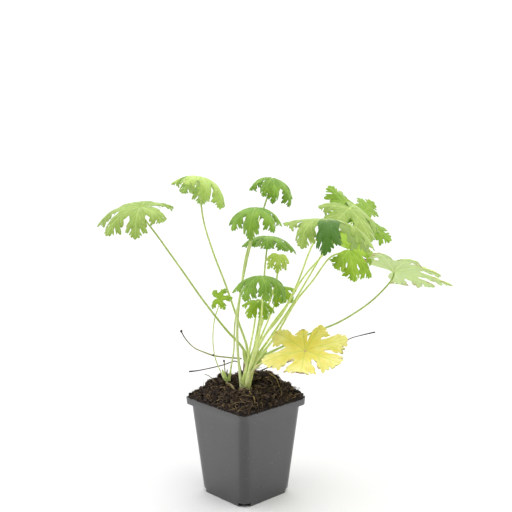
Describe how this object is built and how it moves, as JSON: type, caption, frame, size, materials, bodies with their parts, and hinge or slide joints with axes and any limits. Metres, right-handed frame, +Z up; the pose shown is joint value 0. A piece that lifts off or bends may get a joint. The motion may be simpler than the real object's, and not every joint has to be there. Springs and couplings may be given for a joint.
{
  "type": "hardy geranium in a square nursery pot",
  "caption": "Young hardy geranium with lobed, domed leaves on long petioles, rooted in a soil mound in a square plastic nursery pot.",
  "frame": {"origin": "centre of the pot's underside, on its middle foot", "axes": "+Z up; X and Y square to the pot's sides"},
  "size_m": [0.29, 0.266, 0.3237],
  "materials": {
    "pot": "satin anthracite injection-moulded plastic",
    "soil": "moist fibrous potting peat",
    "crown": "pale green fleshy crown",
    "petiole": "pale yellow-green, finely hairy",
    "petiole_pink": "pinkish ageing stalk",
    "leaf_green": "matt, softly hairy leaf",
    "leaf_pale": "matt, softly hairy leaf",
    "leaf_lime": "young leaf, slightly translucent",
    "leaf_yellow": "withering leaf with pink tints and brown margins",
    "dry_stalk": "dead, dry and grey-brown",
    "old_stem": "reddish-brown old stem",
    "root": "pale tan surface root"
  },
  "bodies": {
    "root": {"pot": "pot", "soil": "soil", "crown_main": "crown", "crown_side": "crown", "petiole_01": "petiole", "leaf_01": "leaf_pale", "petiole_02": "petiole", "leaf_02": "leaf_pale", "petiole_03": "petiole", "leaf_03": "leaf_green", "petiole_04": "petiole", "leaf_04": "leaf_green", "petiole_05": "petiole", "leaf_05": "leaf_green", "petiole_06": "petiole", "leaf_06": "leaf_lime", "petiole_07": "petiole", "leaf_07": "leaf_green", "petiole_08": "petiole", "leaf_08": "leaf_pale", "petiole_09": "petiole", "leaf_09": "leaf_lime", "petiole_10": "petiole", "leaf_10": "leaf_green", "petiole_11": "petiole", "leaf_11": "leaf_pale", "petiole_12": "petiole", "leaf_12": "leaf_green", "petiole_13": "petiole", "leaf_13": "leaf_pale", "petiole_14": "petiole", "leaf_14": "leaf_lime", "petiole_15": "petiole", "leaf_15": "leaf_pale", "petiole_16": "petiole_pink", "leaf_16": "leaf_yellow", "dry_stalk_left": "dry_stalk", "dry_stalk_low": "dry_stalk", "dry_stalk_right": "dry_stalk", "dry_straw": "dry_stalk", "old_stem": "old_stem", "stem_stub": "crown", "root_front": "root", "root_right": "root"}
  },
  "joints": []
}
